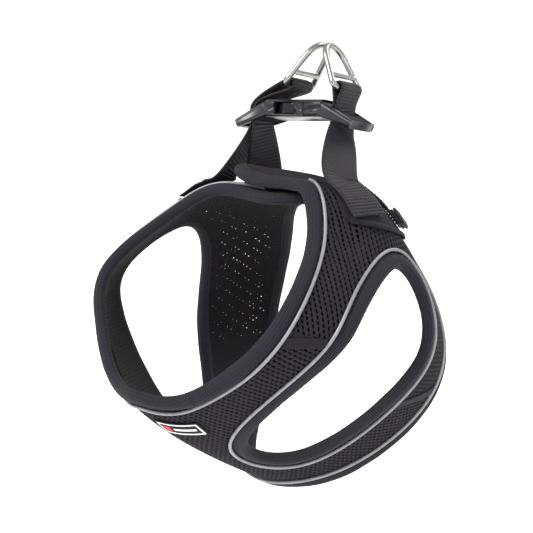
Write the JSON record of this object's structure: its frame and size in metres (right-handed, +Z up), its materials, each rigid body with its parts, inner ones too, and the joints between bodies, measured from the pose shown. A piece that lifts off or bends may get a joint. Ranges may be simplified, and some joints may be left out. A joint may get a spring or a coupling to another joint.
{
  "type": "step-in mesh harness vest",
  "caption": "Step-in air-mesh harness vest for a small dog, with leg holes, padded edges, lapped back flaps, side-release buckle and paired leash rings.",
  "frame": {"origin": "centre of the footprint, at the height of the chest's lowest edge", "axes": "+Z up from chest to rings, +Y from the neck opening to the girth opening, +X to the side whose back flap lies on top"},
  "size_m": [0.1692, 0.1602, 0.2254],
  "materials": {
    "mesh": "open air mesh, matt black",
    "lining": "fine perforated knit, black",
    "binding": "padded ribbed knit, charcoal",
    "piping": "retroreflective, light grey",
    "tape": "smooth woven, black",
    "webbing": "ribbed nylon webbing, black",
    "ring": "satin nickel plate",
    "fastener": "hook and loop, black",
    "label": "woven label with a black field",
    "buckle": "glossy black acetal"
  },
  "bodies": {
    "far_half": {"far_side_panel": "mesh", "far_chest_panel": "mesh", "far_lining": "lining", "far_neck_binding": "binding", "far_flap_binding": "binding", "far_girth_binding": "binding", "far_leg_binding": "binding", "far_neck_piping": "piping", "far_girth_piping": "piping", "far_leg_piping": "piping", "far_front_seam_tape": "tape", "far_rear_seam_tape": "tape", "far_strap_patch": "tape", "far_webbing": "webbing", "far_strap_tab": "webbing", "loop_patch": "fastener", "buckle_socket": "buckle"},
    "near_half": {"near_side_panel": "mesh", "near_chest_panel": "mesh", "near_lining": "lining", "near_neck_binding": "binding", "near_flap_binding": "binding", "near_girth_binding": "binding", "near_leg_binding": "binding", "near_neck_piping": "piping", "near_girth_piping": "piping", "near_leg_piping": "piping", "near_front_seam_tape": "tape", "near_rear_seam_tape": "tape", "near_strap_patch": "tape", "near_webbing": "webbing", "near_strap_tab": "webbing", "hook_patch": "fastener", "buckle_plug": "buckle", "chest_label": "label"},
    "near_ring": {"near_ring": "ring"},
    "far_ring": {"far_ring": "ring"},
    "arm_front": {"buckle_arm_front": "buckle"},
    "arm_rear": {"buckle_arm_rear": "buckle"}
  },
  "joints": [
    {"name": "open_near_half", "type": "hinge", "parent": "far_half", "child": "near_half", "pos_m": [0, -0.0396, 0.0282], "axis": [0, 0.7909, -0.6119], "range_deg": [0, 100]},
    {"name": "near_ring_swing", "type": "hinge", "parent": "near_half", "child": "near_ring", "pos_m": [0.01366, 0.05525, 0.20274], "axis": [-0.2034, 0.9568, -0.2079], "range_deg": [0, 100]},
    {"name": "far_ring_swing", "type": "hinge", "parent": "far_half", "child": "far_ring", "pos_m": [-0.0147, 0.04923, 0.20274], "axis": [0.2034, -0.9568, 0.2079], "range_deg": [0, 100]},
    {"name": "front_arm_squeeze", "type": "hinge", "parent": "near_half", "child": "arm_front", "pos_m": [0.00212, 0.04269, 0.19276], "axis": [0.1114, -0.1884, -0.9758], "range_deg": [0, 11], "stiffness_Nm_per_rad": 0.25},
    {"name": "rear_arm_squeeze", "type": "hinge", "parent": "near_half", "child": "arm_rear", "pos_m": [-0.00097, 0.05723, 0.1896], "axis": [-0.1114, 0.1884, 0.9758], "range_deg": [0, 11], "stiffness_Nm_per_rad": 0.25}
  ],
  "couplings": [
    {"joint": "rear_arm_squeeze", "follows": "front_arm_squeeze", "ratio": 1}
  ]
}
